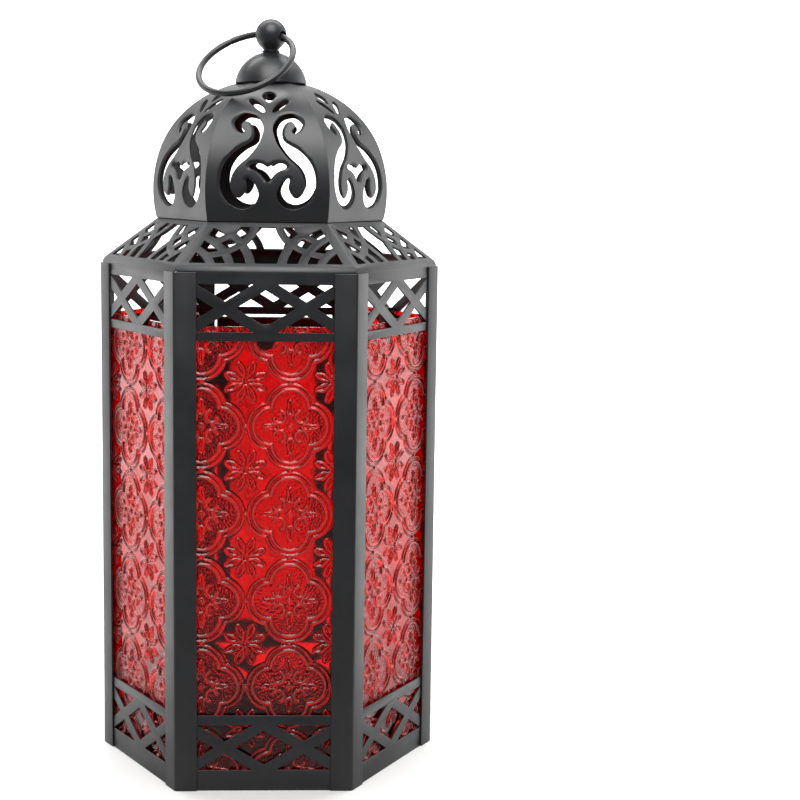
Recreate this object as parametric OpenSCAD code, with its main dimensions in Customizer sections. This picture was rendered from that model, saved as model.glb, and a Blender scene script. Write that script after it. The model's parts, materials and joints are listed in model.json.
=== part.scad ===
// Hexagonal candle lantern: folded corner posts, pierced sheet-metal bands, pressed glass panes,
// a six-gore pierced dome with a cap, a ball finial and a carrying ring, and a hinged glass door.
// The origin is the centre of the base, on the surface the lantern stands on. +Z is up.
// Face 1 looks along -Y and face 4, with the door, along +Y.

/* [Body] */
// Radius from the axis to a corner of the hexagonal body
body_r = 76; // [70:0.5:84]
// Height of the corner posts
post_h = 222.5; // [220:0.5:223]
// Width of one flange of a corner post, measured on the face
post_flange = 9.4; // [8:0.2:11]
// Outer bend radius of a corner post
post_bend = 1.6; // [1.2:0.1:2.5]
// Thickness of all the sheet metal
sheet = 0.8; // [0.6:0.1:1]

/* [Pierced bands] */
// Height of the lower band
lower_band_h = 33.3; // [31:0.1:36]
// Height of the lower band's bottom rail
lower_rail = 9.1; // [8:0.1:11]
// Height of the pierced zone in both bands
pierced_h = 19.9; // [18:0.1:21]
// Underside of the upper band
upper_band_z = 194.1; // [192:0.1:196]
// Height of the upper band's bottom rail
upper_rail = 3.7; // [3:0.1:5]
// Width of a lattice bar
lattice_bar = 4.7; // [3.5:0.1:5.5]
// Distance from the middle of a face to a lattice crossing
crossing_x = 16.85; // [15:0.05:18]
// Slope of the lattice bars
lattice_slant = 31.5; // [29:0.5:34]

/* [Shoulder] */
// Slope of the shoulder above the horizontal
shoulder_slope = 40.7; // [38:0.1:44]
// Outer radius of the bend between the band and the shoulder
shoulder_bend = 5; // [4:0.5:6]
// Length of the sloping face, from the bend's sharp corner to the dome
slope_len = 27.6; // [26:0.1:29]
// Width of the plain strip beside a corner seam
seam_bar = 3.7; // [3:0.1:5]

/* [Dome] */
// Height of the dome's foot
dome_z = 242.2; // [241:0.1:244]
// Height of the dome's widest level
waist_z = 255.2; // [253:0.1:258]
// Distance from the axis to a gore at the widest level
waist_w = 45.3; // [44:0.1:47]
// Radius of a gore's lower curve
gore_low_r = 60; // [55:1:70]
// Radius of a gore's upper curve
gore_high_r = 44; // [42:0.5:46]
// Angle above the waist where the two curves meet
gore_blend = 18; // [14:1:22]

/* [Crown and carrying ring] */
// Outer radius of the cap's sphere
cap_r = 16; // [15:0.5:17]
// Height of the cap's rim
cap_rim_z = 302.3; // [302.2:0.1:303]
// Radius of the finial ball
ball_r = 6.9; // [6.5:0.1:7.5]
// Height of the finial ball's centre
ball_z = 323.65; // [323:0.05:325]
// Radius of the finial's neck
neck_r = 3.3; // [2.8:0.1:3.8]
// Radius of the cross hole that holds the ring
ring_hole_r = 2.4; // [2.3:0.1:2.8]
// Radius of the carrying ring's centre line
ring_r = 21.5; // [20:0.5:23]
// Radius of the ring's wire
wire_r = 1.4; // [1.2:0.1:1.5]
// Distance of the ring's wire from the cross hole's axis, at the middle of the ball
wire_offset = 0.5; // [0.4:0.1:0.6]
// Turn of the cross hole about the vertical
ring_turn = -35; // [-45:1:-25]
// Slope of the cross hole
ring_tilt = 6.8; // [0:0.1:8]
// Angle of the resting ring from straight down
ring_lean = 51; // [51:0.5:60]

/* [Glass] */
// Thickness of a pane, with its relief
glass_t = 2.5; // [2:0.1:3]
// Height of the top edge of a fixed pane
pane_top = 200; // [198:0.5:203]
// Half the width of a fixed pane
pane_half_w = 34.6; // [33:0.1:35]

/* [Candle pan] */
// Inner radius of the candle pan
pan_r = 26.5; // [20:0.5:27]
// Height of the candle pan's rim
pan_h = 8.8; // [6:0.2:12]

/* [Door] */
// Half the width of the door
door_half_w = 27.4; // [27:0.1:27.6]
// Gap above and below the door
door_gap = 1.2; // [0.8:0.1:1.5]
// Width of the door frame's face
door_face = 6.5; // [5:0.5:8]
// Depth of the door frame
door_depth = 4.6; // [4:0.1:5]
// Radius of a hinge knuckle
knuckle_r = 1.3; // [1.2:0.1:1.5]
// Radius of a hinge pin
pin_r = 0.7; // [0.6:0.05:0.8]
// Heights of the middles of the two hinges
hinge_zs = [62, 166];
// Height of the turn-button's pivot
latch_z = 120; // [100:1:140]
// Height of the door knob
knob_z = 104; // [80:1:105]

/* [Hidden] */
$fn = 96;
faces = [1, 2, 3, 4, 5, 6];
door_side = 4;
fixed_faces = [1, 2, 3, 5, 6];

metal = "#3a3c40";
red_glass = "#c8141c";

// Layers of a face, as distances from the axis
face_w = body_r * cos(30);
plate_w = face_w - sheet;
plate_in = plate_w - sheet;
glass_w = plate_in - 0.2;
glass_in = glass_w - glass_t;
clip_gap = 0.2;
tab_w = 8;
band_half_w = (face_w - post_bend) * tan(30) - 0.2;

// Shoulder: the bend turns the band's plate onto the slope
bend_turn = 90 - shoulder_slope;
bend_z = dome_z - slope_len * sin(shoulder_slope) - shoulder_bend * tan(bend_turn / 2);
bend_w = plate_w - shoulder_bend;
slope_foot_z = bend_z + shoulder_bend * sin(bend_turn);
slope_foot_w = bend_w + shoulder_bend * cos(bend_turn);
collar_h = 3.6;

// Dome: centres of the two curves of a gore, and its top opening
low_w = waist_w - gore_low_r;
high_w = low_w + (gore_low_r - gore_high_r) * cos(gore_blend);
high_z = waist_z + (gore_low_r - gore_high_r) * sin(gore_blend);
gore_foot_z = dome_z + 0.7;
gore_top_w = 5;
collar_w = low_w + sqrt(pow(gore_low_r - sheet, 2) - pow(waist_z - gore_foot_z, 2)) - 0.05;

// Crown
cap_centre_z = cap_rim_z - 2;
stem_r = 2;
stem_foot_z = 295;
washer_r = 10.5;
washer_t = 1;
washer_top_z = high_z + sqrt(pow(gore_high_r - sheet, 2) - pow(washer_r - high_w, 2)) - 0.05;
nut_r = 4;
nut_h = 3.2;

// Door, on the layer of the posts' flanges
door_low = lower_band_h + door_gap;
door_high = upper_band_z - door_gap;
door_in = face_w - door_depth;
hinge_u = door_half_w + 0.5;
hinge_w = face_w + knuckle_r + 0.38;
pin_clearance = 0.05;
knuckle_gap = 0.3;
knuckle_end = 4;
knuckle_mid = 6;
leaf_t = 0.6;
leaf_h = 2 * knuckle_end + knuckle_mid + 2 * knuckle_gap;
latch_u = -(body_r / 2 - post_flange / 2);
latch_back = face_w + 0.4;
latch_hole_r = 1.25;

// Puts what is drawn on face 1 on face k
module on_face(k) {
    rotate([0, 0, 60 * (k - 1)]) children();
}

// A sector of the plan, from the axis out, that face 1 owns
module face_wedge() {
    far = 2 * body_r;
    linear_extrude(400) polygon([[0, 0], [-far * tan(30), -far], [far * tan(30), -far]]);
}

// Extrudes a profile of distance from the axis and height along face 1, mitred at its corners
module along_face() {
    intersection() {
        translate([body_r, 0, 0]) rotate([90, 0, -90]) linear_extrude(2 * body_r) children();
        face_wedge();
    }
}

// Extrudes an outline drawn on the elevation of face 1 through w_from to w_to
module through_face(w_from, w_to) {
    translate([0, -w_from, 0]) rotate([90, 0, 0]) linear_extrude(w_to - w_from) children();
}

// A block on face 1: along the face, out from the axis, and up
module face_block(u, w, z) {
    translate([u[0], -w[1], z[0]]) cube([u[1] - u[0], w[1] - w[0], z[1] - z[0]]);
}

// Points on an arc
function arc(c, r, from, to, steps) =
    [for (i = [0:steps]) let (a = from + (to - from) * i / steps) c + r * [cos(a), sin(a)]];

// Points on a Bezier curve
function bezier(a, b, c, d, steps) =
    [for (i = [0:steps]) let (t = i / steps, s = 1 - t)
        s * s * s * a + 3 * s * s * t * b + 3 * s * t * t * c + t * t * t * d];

// A flange's free edge in plan, at distance w from the axis: side is -1 or 1
function flange_edge(side, w) =
    w * [cos(30), side * sin(30)] + (body_r / 2 - post_flange) * [sin(30), -side * cos(30)];

// Corner post: a strip folded to 120 degrees about the corner on +X
module post_profile() {
    bend = [(face_w - post_bend) / cos(30), 0];
    polygon(concat(
        [flange_edge(-1, face_w)],
        arc(bend, post_bend, -30, 30, 8),
        [flange_edge(1, face_w), flange_edge(1, plate_w)],
        arc(bend, post_bend - sheet, 30, -30, 8),
        [flange_edge(-1, plate_w)]
    ));
}

module corner_post(k) {
    color(metal) rotate([0, 0, 60 * (k - 2)]) linear_extrude(post_h) post_profile();
}

// Holes on one side of a band's lattice: two bars cross inside a rectangle
module lattice_half(low) {
    run = crossing_x / cos(lattice_slant) + 4;
    difference() {
        translate([0, low]) square([body_r / 2 - 4, pierced_h]);
        for (way = [-1, 1]) {
            translate([crossing_x, low + pierced_h / 2]) rotate(way * lattice_slant)
                translate([-run, -lattice_bar / 2]) square([2 * run, lattice_bar]);
        }
    }
}

module lattice(low) {
    lattice_half(low);
    mirror([1, 0]) lattice_half(low);
}

module lower_fret(k) {
    color(metal) on_face(k) difference() {
        face_block([-band_half_w, band_half_w], [plate_in, plate_w], [0, lower_band_h]);
        through_face(plate_in - 1, plate_w + 1) lattice(lower_rail);
    }
}

// Roof panel: the upper band, the bend, the slope and the collar inside the dome
module roof_profile() {
    inner_bend = shoulder_bend - sheet;
    slope = tan(shoulder_slope);
    collar_foot = slope_foot_z + (slope_foot_w - collar_w) * slope;
    inner_drop = sheet / cos(shoulder_slope);
    polygon(concat(
        [[plate_w, upper_band_z]],
        arc([bend_w, bend_z], shoulder_bend, 0, bend_turn, 8),
        [[collar_w, collar_foot], [collar_w, collar_foot + collar_h]],
        [[collar_w - sheet, collar_foot + collar_h]],
        [[collar_w - sheet, collar_foot + sheet * slope - inner_drop]],
        arc([bend_w, bend_z], inner_bend, bend_turn, 0, 8),
        [[plate_in, upper_band_z]]
    ));
}

module ring_2d(c, inner, outer) {
    translate(c) difference() {
        circle(outer);
        circle(inner);
    }
}

// One half of the shoulder's bars: arcs about the slope's lower corner and about its upper corner
module shoulder_bars() {
    foot = [-body_r / 2, -1];
    head = [-27, 30];
    ring_2d(foot, 13.8, 17.4);
    ring_2d(foot, 21.5, 25.1);
    ring_2d(foot, 30, 33.7);
    difference() {
        ring_2d(head, 20.7, 24);
        translate(foot) circle(15.6);
    }
    difference() {
        translate(head) circle(16.5);
        translate(foot) circle(30);
    }
    difference() {
        ring_2d(head, 13.2, 16.5);
        translate(foot) circle(23.3);
    }
}

// Half the width left for holes at distance v up the slope from the bend's sharp corner
function pierced_half_w(v) = (plate_w - v * cos(shoulder_slope)) * tan(30) - seam_bar * 1.09;

module shoulder_holes() {
    low = 3.2;
    high = slope_len - 2.2;
    difference() {
        polygon([
            [-pierced_half_w(low), low], [pierced_half_w(low), low],
            [pierced_half_w(high), high], [-pierced_half_w(high), high]
        ]);
        shoulder_bars();
        mirror([1, 0]) shoulder_bars();
    }
}

module roof_panel(k) {
    color(metal) on_face(k) difference() {
        along_face() roof_profile();
        through_face(plate_in - 1, plate_w + 1) lattice(upper_band_z + upper_rail);
        translate([0, -slope_foot_w, slope_foot_z]) rotate([shoulder_slope, 0, 0])
            translate([0, -shoulder_bend * tan(bend_turn / 2), -2]) linear_extrude(4) shoulder_holes();
        for (side = [0, 1]) mirror([side, 0, 0])
            face_block([band_half_w, body_r], [bend_w, body_r], [upper_band_z - 1, post_h + 0.2]);
    }
}

// Part of a ring between two directions from its centre
module ring_sector(c, outer, from, to) {
    reach = outer * 1.6;
    middle = (from + to) / 2;
    translate(c) intersection() {
        difference() {
            circle(outer);
            circle(outer - sheet);
        }
        polygon([[0, 0], reach * [cos(from), sin(from)], reach * [cos(middle), sin(middle)],
            reach * [cos(to), sin(to)]]);
    }
}

module gore_profile() {
    foot_angle = asin((gore_foot_z - waist_z) / gore_low_r);
    top_angle = acos((gore_top_w - high_w) / gore_high_r);
    ring_sector([low_w, waist_z], gore_low_r, foot_angle, gore_blend);
    ring_sector([high_w, high_z], gore_high_r, gore_blend, top_angle);
}

// The scroll is a stroke along four arcs: [centre, radius, from, to, width at start, width at end]
scroll_arcs = [
    [[-8.4, 282.3], 4.4, 207, 90, 2.6, 3],
    [[-8.4, 282.3], 4.4, 90, -28, 3, 3.2],
    [[-29.9, 293.7], 28.8, -28, -49, 3.2, 5],
    [[2, 257], 20, 131, 180, 5, 4.1],
    [[-12, 256.6], 6, 180, 315, 4.1, 4.3],
    [[-12, 256.6], 6, 315, 408, 4.3, 0.3]
];

// One edge of the scroll's stroke: side is 1 for the outer side of each arc's own radius
function scroll_edge(side, steps = 8) = [for (s = scroll_arcs) for (i = [0:steps])
    let (
        t = i / steps,
        a = s[2] + (s[3] - s[2]) * t,
        half = (s[4] + (s[5] - s[4]) * t) / 2,
        turn = s[3] > s[2] ? 1 : -1
    ) s[0] + (s[1] + side * turn * half) * [cos(a), sin(a)]];

function reversed(list) = [for (i = [len(list) - 1:-1:0]) list[i]];

module scroll() {
    ahead = scroll_edge(1);
    back = scroll_edge(-1);
    polygon(concat(ahead, reversed(back)));
    translate(ahead[0] / 2 + back[0] / 2) circle(1.3);
}

// The winged heart between the scrolls, by its right half
module heart() {
    half = concat(
        bezier([0, 265.7], [1.6, 266.6], [3.4, 267.6], [6.2, 267.3], 8),
        arc([6.6, 266.3], 1, 90, -80, 6),
        bezier([6.6, 265.3], [3.6, 264.8], [2.4, 262], [0, 259.9], 8)
    );
    polygon(half);
    mirror([1, 0]) polygon(half);
}

module petals() {
    polygon(concat(
        bezier([0, 293.4], [1.2, 293.6], [2.4, 295], [2.9, 295.9], 6),
        bezier([2.9, 295.9], [2.1, 298.8], [-2.1, 298.8], [-2.9, 295.9], 8),
        bezier([-2.9, 295.9], [-2.4, 295], [-1.2, 293.6], [0, 293.4], 6)
    ));
    for (side = [0, 1]) mirror([side, 0]) polygon(concat(
        bezier([1.7, 289.3], [1.6, 291.4], [5.4, 295.2], [8.2, 294.4], 8),
        bezier([8.2, 294.4], [8.4, 293], [3.4, 288.6], [1.7, 289.3], 8)
    ));
}

module dome_gore(k) {
    color(metal) on_face(k) difference() {
        along_face() gore_profile();
        through_face(gore_top_w, waist_w + 5) {
            scroll();
            mirror([1, 0]) scroll();
            heart();
            petals();
        }
    }
}

module glass_pane(k) {
    color(red_glass, 0.6) on_face(k)
        face_block([-pane_half_w, pane_half_w], [glass_in, glass_w], [sheet, pane_top]);
}

// One spring clip hooks over the top of each fixed pane
module glass_clip() {
    back = glass_in - clip_gap;
    top = pane_top + clip_gap + sheet;
    face_block([-tab_w / 2, tab_w / 2], [back - sheet, plate_in], [top - sheet, top]);
    face_block([-tab_w / 2, tab_w / 2], [back - sheet, back], [top - 7, top]);
    through_face(back - sheet, back) translate([0, top - 7]) circle(tab_w / 2);
}

module glass_clips() {
    color(metal) for (k = fixed_faces) on_face(k) glass_clip();
}

module base_tray() {
    color(metal) cylinder(r = plate_in / cos(30), h = sheet, $fn = 6);
}

// One angle on the tray stands behind the foot of each fixed pane
module foot_tabs() {
    back = glass_in - clip_gap;
    color(metal) for (k = fixed_faces) on_face(k) {
        face_block([-tab_w / 2, tab_w / 2], [back - sheet, back], [sheet, 8]);
        face_block([-tab_w / 2, tab_w / 2], [back - 6, back], [sheet, 2 * sheet]);
    }
}

module candle_pan() {
    color(metal) translate([0, 0, sheet]) difference() {
        cylinder(r = pan_r + sheet, h = pan_h);
        translate([0, 0, sheet]) cylinder(r = pan_r, h = pan_h);
    }
}

module crown_cap() {
    color(metal) translate([0, 0, cap_centre_z]) difference() {
        rotate_extrude() intersection() {
            difference() {
                circle(cap_r);
                circle(cap_r - sheet);
            }
            translate([0, cap_rim_z - cap_centre_z]) square([cap_r + 1, cap_r]);
        }
        cylinder(r = stem_r + 0.1, h = 2 * cap_r);
    }
}

// Turns local X onto the axis of the ball's cross hole
module on_ring_axis() {
    translate([0, 0, ball_z]) rotate([0, 0, ring_turn]) rotate([0, ring_tilt, 0]) children();
}

module finial_ball() {
    neck_foot_z = cap_centre_z + sqrt(cap_r * cap_r - pow(stem_r + 0.1, 2)) + 0.01;
    color(metal) difference() {
        union() {
            translate([0, 0, ball_z]) sphere(ball_r);
            translate([0, 0, neck_foot_z]) cylinder(r = neck_r, h = ball_z - neck_foot_z);
            translate([0, 0, stem_foot_z]) cylinder(r = stem_r, h = ball_z - stem_foot_z);
        }
        on_ring_axis() rotate([0, 90, 0]) cylinder(r = ring_hole_r, h = 3 * ball_r, center = true);
    }
}

module finial_washer() {
    color(metal) translate([0, 0, washer_top_z - washer_t]) difference() {
        cylinder(r = washer_r, h = washer_t);
        translate([0, 0, -1]) cylinder(r = stem_r + 0.1, h = washer_t + 2);
    }
}

module finial_nut() {
    color(metal) translate([0, 0, washer_top_z - washer_t - nut_h]) difference() {
        cylinder(r = nut_r, h = nut_h, $fn = 6);
        translate([0, 0, -1]) cylinder(r = stem_r + 0.02, h = nut_h + 2);
    }
}

module carrying_ring() {
    color(metal) on_ring_axis() rotate([-ring_lean, 0, 0])
        translate([0, 0, -(ring_r - wire_offset)]) rotate([90, 0, 0])
            rotate_extrude() translate([ring_r, 0]) circle(wire_r);
}

// Door frame: a folded face with a turned-in edge all round
module door_frame() {
    wide = [-door_half_w, door_half_w];
    inner = door_half_w - sheet;
    window = door_half_w - door_face;
    color(metal) on_face(door_side) difference() {
        face_block(wide, [door_in, face_w], [door_low, door_high]);
        face_block([-inner, inner], [door_in - 1, plate_w], [door_low + sheet, door_high - sheet]);
        face_block([-window, window], [door_in - 1, face_w + 1],
            [door_low + door_face, door_high - door_face]);
        translate([-door_half_w + door_face / 2, -face_w, knob_z]) rotate([90, 0, 0])
            cylinder(r = 1, h = 4, center = true);
    }
}

door_pane_w = [plate_w - 0.1 - glass_t, plate_w - 0.1];

module door_glass() {
    half_w = door_half_w - sheet - 0.3;
    color(red_glass, 0.6) on_face(door_side)
        face_block([-half_w, half_w], door_pane_w, [door_low + 1.1, door_high - 1.1]);
}

// Four tabs hold the door's pane against the frame
module door_clips() {
    inner = door_half_w - sheet;
    w = [door_pane_w[0] - 0.9, door_pane_w[0] - 0.1];
    color(metal) on_face(door_side) for (z = [72, 156], side = [0, 1])
        mirror([side, 0, 0]) face_block([inner - 4.5, inner], w, [z - 4, z + 4]);
}

// The knob is turned, and its foot is riveted flush in the frame
module door_knob() {
    color(metal) on_face(door_side)
        translate([-door_half_w + door_face / 2, -face_w, knob_z]) rotate([90, 0, 0]) {
            translate([0, 0, -sheet - 0.05]) cylinder(r = 0.98, h = 5);
            cylinder(r1 = 2.4, r2 = 1.4, h = 1.8);
            translate([0, 0, 4.8]) sphere(3.5);
        }
}

// Two brackets on the latch-side post stop the door from swinging inwards
module door_stop(z) {
    foot = [-post_flange - door_half_w + 4, -door_half_w - 2];
    through = [door_in - 1.2, plate_w];
    face_block(foot, [plate_w - sheet, plate_w], [z - 5, z + 5]);
    face_block([foot[1] - sheet, foot[1]], through, [z - 5, z + 5]);
    face_block([foot[1] - sheet, foot[1] + 4.5], [through[0], through[0] + sheet], [z - 5, z + 5]);
}

module door_stops() {
    color(metal) on_face(door_side) for (z = [84, 150]) door_stop(z);
}

// A tube of a hinge, standing on the hinge axis
module knuckle(z, h) {
    translate([hinge_u, -hinge_w, z]) cylinder(r = knuckle_r, h = h);
}

module hinge_bore(z, r) {
    translate([hinge_u, -hinge_w, z - leaf_h]) cylinder(r = r, h = 2 * leaf_h);
}

module hinge_post_leaf(z) {
    low = z - leaf_h / 2;
    color(metal) on_face(door_side) difference() {
        union() {
            for (start = [low, low + leaf_h - knuckle_end]) {
                knuckle(start, knuckle_end);
                face_block([hinge_u, hinge_u + 2], [face_w, face_w + 1], [start, start + knuckle_end]);
            }
            face_block([hinge_u + 1.6, hinge_u + 8], [face_w, face_w + leaf_t], [low, low + leaf_h]);
        }
        hinge_bore(z, pin_r + 0.01);
        face_block([hinge_u - 2, hinge_u + 0.6], [face_w - 1, face_w + 0.38], [low - 1, low + leaf_h + 1]);
    }
}

module hinge_door_leaf(z) {
    low = z - knuckle_mid / 2;
    color(metal) on_face(door_side) difference() {
        union() {
            knuckle(low, knuckle_mid);
            face_block([hinge_u - 2, hinge_u], [face_w, face_w + 1], [low, low + knuckle_mid]);
            face_block([hinge_u - 7, hinge_u - 1.6], [face_w, face_w + leaf_t],
                [z - leaf_h / 2, z + leaf_h / 2]);
        }
        hinge_bore(z, pin_r + pin_clearance);
        face_block([hinge_u - 0.6, hinge_u + 2], [face_w - 1, face_w + 0.38],
            [low - 1, low + knuckle_mid + 1]);
    }
}

module hinge_pin(z) {
    half = leaf_h / 2 + 0.4;
    color(metal) on_face(door_side) translate([hinge_u, -hinge_w, z - half]) {
        cylinder(r = pin_r, h = 2 * half);
        translate([0, 0, 2 * half]) cylinder(r = pin_r + 0.5, h = 0.7);
    }
}

// Turn-button: it hangs down beside the door, and a quarter turn brings it over the door's edge
module latch_button() {
    color(metal) on_face(door_side) through_face(latch_back, latch_back + sheet) difference() {
        union() {
            translate([latch_u, latch_z]) circle(3.2);
            translate([latch_u - 2.4, latch_z - 10]) square([4.8, 10]);
            translate([latch_u, latch_z - 10]) circle(2.4);
        }
        translate([latch_u, latch_z]) circle(latch_hole_r);
    }
}

module latch_rivet() {
    head_z = latch_back + sheet - face_w + 0.3;
    color(metal) on_face(door_side) translate([latch_u, -face_w, latch_z]) rotate([90, 0, 0]) {
        cylinder(r = latch_hole_r - pin_clearance, h = head_z);
        cylinder(r = 2.1, h = 0.15);
        translate([0, 0, head_z]) intersection() {
            cylinder(r = 2.6, h = 1.2);
            translate([0, 0, -3.2]) sphere(4.2);
        }
    }
}

for (k = faces) {
    corner_post(k);
    lower_fret(k);
    roof_panel(k);
    dome_gore(k);
}
for (k = fixed_faces) {
    glass_pane(k);
}
glass_clips();
foot_tabs();
base_tray();
candle_pan();
crown_cap();
finial_ball();
finial_washer();
finial_nut();
carrying_ring();
door_frame();
door_glass();
door_clips();
door_knob();
door_stops();
hinge_post_leaf(hinge_zs[0]);  // hinge_post_leaf_lower
hinge_door_leaf(hinge_zs[0]);  // hinge_door_leaf_lower
hinge_pin(hinge_zs[0]);  // hinge_pin_lower
hinge_post_leaf(hinge_zs[1]);  // hinge_post_leaf_upper
hinge_door_leaf(hinge_zs[1]);  // hinge_door_leaf_upper
hinge_pin(hinge_zs[1]);  // hinge_pin_upper
latch_button();
latch_rivet();
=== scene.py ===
# %% [markdown]
# # A candle lantern in Blender
#
# The lantern is a six-sided cage of folded black sheet steel. Panes of pressed red glass stand
# behind it, and a pierced dome, a cap, a ball finial and a carrying ring sit on top.
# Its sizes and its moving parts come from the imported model, which is loaded first. This script
# gives each piece the shape and the finish that the solid model leaves out.
# All lengths in this file are in millimetres until a mesh is made, and then they are metres.

import json
import math

import bmesh
import bpy
import numpy as np
from mathutils import Matrix, Vector


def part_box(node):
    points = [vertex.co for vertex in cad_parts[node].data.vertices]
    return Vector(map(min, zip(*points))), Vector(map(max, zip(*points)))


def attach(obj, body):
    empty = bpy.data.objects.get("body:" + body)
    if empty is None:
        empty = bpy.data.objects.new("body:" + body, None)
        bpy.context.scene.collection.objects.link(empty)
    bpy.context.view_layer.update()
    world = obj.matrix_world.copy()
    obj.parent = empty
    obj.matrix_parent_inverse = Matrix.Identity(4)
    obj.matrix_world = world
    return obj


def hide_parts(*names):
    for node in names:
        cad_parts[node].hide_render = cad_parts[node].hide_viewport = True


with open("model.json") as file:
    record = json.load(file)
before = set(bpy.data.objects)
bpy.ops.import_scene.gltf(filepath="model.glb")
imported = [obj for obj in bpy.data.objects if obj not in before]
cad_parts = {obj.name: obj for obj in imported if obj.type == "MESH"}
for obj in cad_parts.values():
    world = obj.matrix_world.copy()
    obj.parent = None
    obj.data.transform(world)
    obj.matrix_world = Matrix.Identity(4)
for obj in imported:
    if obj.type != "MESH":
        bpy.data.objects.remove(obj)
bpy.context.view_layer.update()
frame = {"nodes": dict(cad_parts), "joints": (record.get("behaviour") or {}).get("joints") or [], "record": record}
MM = 0.001
FACES = range(1, 7)

# %% [markdown]
# ## Colours and nodes
#
# Colours are easiest to pick as sRGB hex values, the way a paint program shows them, but shaders
# work with linear light, so one function converts them. A second one adds a shader node with its
# settings and links. All the materials below are written with these two.

# %% Two helpers for materials


def linear(hex_colour):
    """An sRGB hex colour as linear red, green, blue and alpha."""
    parts = [int(hex_colour[i : i + 2], 16) / 255 for i in (1, 3, 5)]
    return [c / 12.92 if c <= 0.04045 else ((c + 0.055) / 1.055) ** 2.4 for c in parts] + [1.0]


def add(tree, kind, inputs=None, **settings):
    """Adds a node. inputs gives each socket a value or another node's output to link."""
    made = tree.nodes.new(kind)
    for name, value in settings.items():
        setattr(made, name, value)
    for name, value in (inputs or {}).items():
        if isinstance(value, bpy.types.NodeSocket):
            tree.links.new(value, made.inputs[name])
        else:
            made.inputs[name].default_value = value
    return made


def new_material(name):
    """An empty node material: its tree and its output node."""
    material = bpy.data.materials.new(name)
    material.use_nodes = True
    tree = material.node_tree
    tree.nodes.clear()
    return material, tree, tree.nodes.new("ShaderNodeOutputMaterial")


print("black paint in linear light:", [round(c, 4) for c in linear("#1f2023")])

# %% [markdown]
# ## Satin black powder coat
#
# The sheet metal is powder-coated steel. Powder is sprayed on dry and melts in an oven into a
# tough skin with a fine orange peel, a ripple about a millimetre from crest to crest. It hides
# the steel, so the material is a dark dielectric and not a metal. Such resins have an IOR near
# 1.5, and 1.65 matches this coat's stronger sheen, with a satin roughness. Handling leaves it a
# little uneven in gloss and colour, over a centimetre or two, and dust makes it a touch lighter in
# places. The ripple is bump, because it is only a hundredth or two deep. The tray, the pan, the
# washer and the clips inside have a darker and duller coat.

# %% The powder coat


def powder_coat(name, shade, dusty, rough_low, rough_high):
    """Powder coat with orange peel. shade and dusty are its colour where clean and where dusty."""
    material, tree, out = new_material(name)
    where = add(tree, "ShaderNodeTexCoord").outputs["Object"]
    # Uneven cure and handling: patches 18 mm across
    patches = add(tree, "ShaderNodeTexNoise", {"Vector": where, "Scale": 1 / (18 * MM), "Detail": 4.0})
    # Orange peel: crests 1.1 mm apart
    peel = add(tree, "ShaderNodeTexNoise", {"Vector": where, "Scale": 1 / (1.1 * MM), "Detail": 1.5})
    # Dust and rub marks: specks 0.6 mm across, drawn coarser than real dust so that they show
    dust = add(tree, "ShaderNodeTexNoise", {"Vector": where, "Scale": 1 / (0.6 * MM), "Detail": 2.0})
    clean = add(
        tree, "ShaderNodeMapRange",
        {"Value": patches.outputs["Fac"], "From Min": 0.35, "From Max": 0.7},
    )
    speck = add(
        tree, "ShaderNodeMapRange",
        {"Value": dust.outputs["Fac"], "From Min": 0.66, "From Max": 0.8, "To Max": 0.5},
    )
    grime = add(
        tree, "ShaderNodeMath", {0: clean.outputs["Result"], 1: speck.outputs["Result"]},
        operation="MAXIMUM",
    )
    colour = add(
        tree, "ShaderNodeMix", {"Factor": grime.outputs[0], 6: linear(shade), 7: linear(dusty)},
        data_type="RGBA",
    )
    gloss = add(
        tree, "ShaderNodeMapRange",
        {"Value": patches.outputs["Fac"], "From Min": 0.3, "From Max": 0.7,
         "To Min": rough_low, "To Max": rough_high},
    )
    ripple = add(
        tree, "ShaderNodeBump",
        {"Height": peel.outputs["Fac"], "Strength": 0.35, "Distance": 0.05 * MM},
    )
    shader = add(
        tree, "ShaderNodeBsdfPrincipled",
        {"Base Color": colour.outputs[2], "Roughness": gloss.outputs["Result"],
         "Normal": ripple.outputs["Normal"], "IOR": 1.65},
    )
    tree.links.new(shader.outputs["BSDF"], out.inputs["Surface"])
    return material


black_coat = powder_coat("satin_black_powder_coat", "#17181b", "#202125", 0.36, 0.46)
inside_coat = powder_coat("inside_black_powder_coat", "#0d0d0e", "#141415", 0.5, 0.62)
print("made", black_coat.name, "and", inside_coat.name)

# %% [markdown]
# ## Dark zinc-plated steel
#
# The hinge pins, the nut and the rivet are small turned steel parts with a dark plating. They
# are metal, so their colour is in the reflection. Turning leaves rings a few tenths apart, which
# are drawn here as a noise stretched round the upright axis that the pins and the nut share.

# %% The plated steel


def plated_steel():
    material, tree, out = new_material("dark_zinc_plated_steel")
    where = add(tree, "ShaderNodeTexCoord").outputs["Object"]
    # Turning marks 0.4 mm apart along the pins, and far longer around them
    stretched = add(tree, "ShaderNodeMapping", {"Vector": where, "Scale": (0.1, 0.1, 1.0)})
    marks = add(
        tree, "ShaderNodeTexNoise",
        {"Vector": stretched.outputs["Vector"], "Scale": 1 / (0.4 * MM), "Detail": 2.0},
    )
    gloss = add(
        tree, "ShaderNodeMapRange",
        {"Value": marks.outputs["Fac"], "To Min": 0.28, "To Max": 0.5},
    )
    colour = add(
        tree, "ShaderNodeMix",
        {"Factor": marks.outputs["Fac"], 6: linear("#6b6b6e"), 7: linear("#8a8a8c")},
        data_type="RGBA",
    )
    shader = add(
        tree, "ShaderNodeBsdfPrincipled",
        {"Base Color": colour.outputs[2], "Metallic": 1.0, "Roughness": gloss.outputs["Result"]},
    )
    tree.links.new(shader.outputs["BSDF"], out.inputs["Surface"])
    return material


steel = plated_steel()
print("made", steel.name)

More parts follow.
